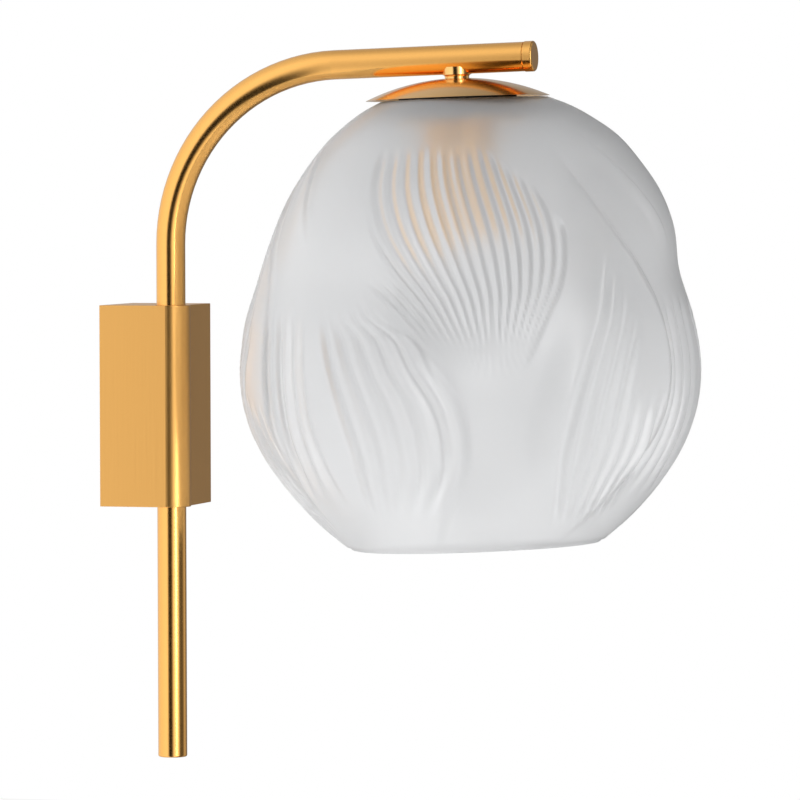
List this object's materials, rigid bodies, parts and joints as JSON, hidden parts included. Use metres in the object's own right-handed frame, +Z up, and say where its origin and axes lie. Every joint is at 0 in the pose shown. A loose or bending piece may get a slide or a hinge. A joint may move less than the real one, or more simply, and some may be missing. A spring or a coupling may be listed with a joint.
{
  "type": "wall sconce",
  "caption": "Wall light with a slim pole that swivels in a slim wall box, bends over into an arm and carries a ribbed, scalloped glass shade open below.",
  "frame": {"origin": "midway between the two wall fixing slots, on the back face of the wall bracket", "axes": "+Z up, +Y into the wall, so the wall is the plane y = 0 and the lamp reaches out along -Y; the pole stands at the -X side of the wall box"},
  "size_m": [0.252, 0.3325, 0.3929],
  "materials": {
    "satin_brass": "fine brushed, satin",
    "polished_brass": "polished",
    "shell_brass": "plain, rolled",
    "zinc_steel": "zinc plated",
    "black_rubber": "matte",
    "white_nylon": "matte",
    "lead_sheath": "matte",
    "white_porcelain": "glazed, opaque",
    "frosted_glass": "moulded, acid-frosted"
  },
  "bodies": {
    "wall_unit": {"wall_bracket": "zinc_steel", "wall_box": "satin_brass", "box_screws": "polished_brass", "cable_grommet": "black_rubber", "terminal_block": "white_nylon", "terminal_screws": "zinc_steel", "block_screw": "zinc_steel", "earth_screw": "polished_brass", "earth_washer": "polished_brass", "upper_bush": "white_nylon", "lower_bush": "white_nylon", "stop_screw": "zinc_steel", "box_lead": "lead_sheath"},
    "arm_unit": {"pole_arm": "satin_brass", "pole_end_cap": "satin_brass", "arm_end_cap": "satin_brass", "neck_stem": "polished_brass", "canopy": "polished_brass", "hollow_nipple": "zinc_steel", "canopy_nut": "zinc_steel", "clamp_disc": "zinc_steel", "upper_gasket": "black_rubber", "lower_gasket": "black_rubber", "clamp_plate": "satin_brass", "glass_shade": "frosted_glass", "holder_cup": "satin_brass", "holder_nut": "zinc_steel", "holder_ceramic": "white_porcelain", "screw_shell": "shell_brass", "centre_contact": "shell_brass", "arm_lead": "lead_sheath"}
  },
  "joints": [
    {"name": "arm_swing", "type": "hinge", "parent": "wall_unit", "child": "arm_unit", "pos_m": [-0.0183, -0.038, 0], "axis": [0, 0, 1], "range_deg": [-45, 45]}
  ]
}
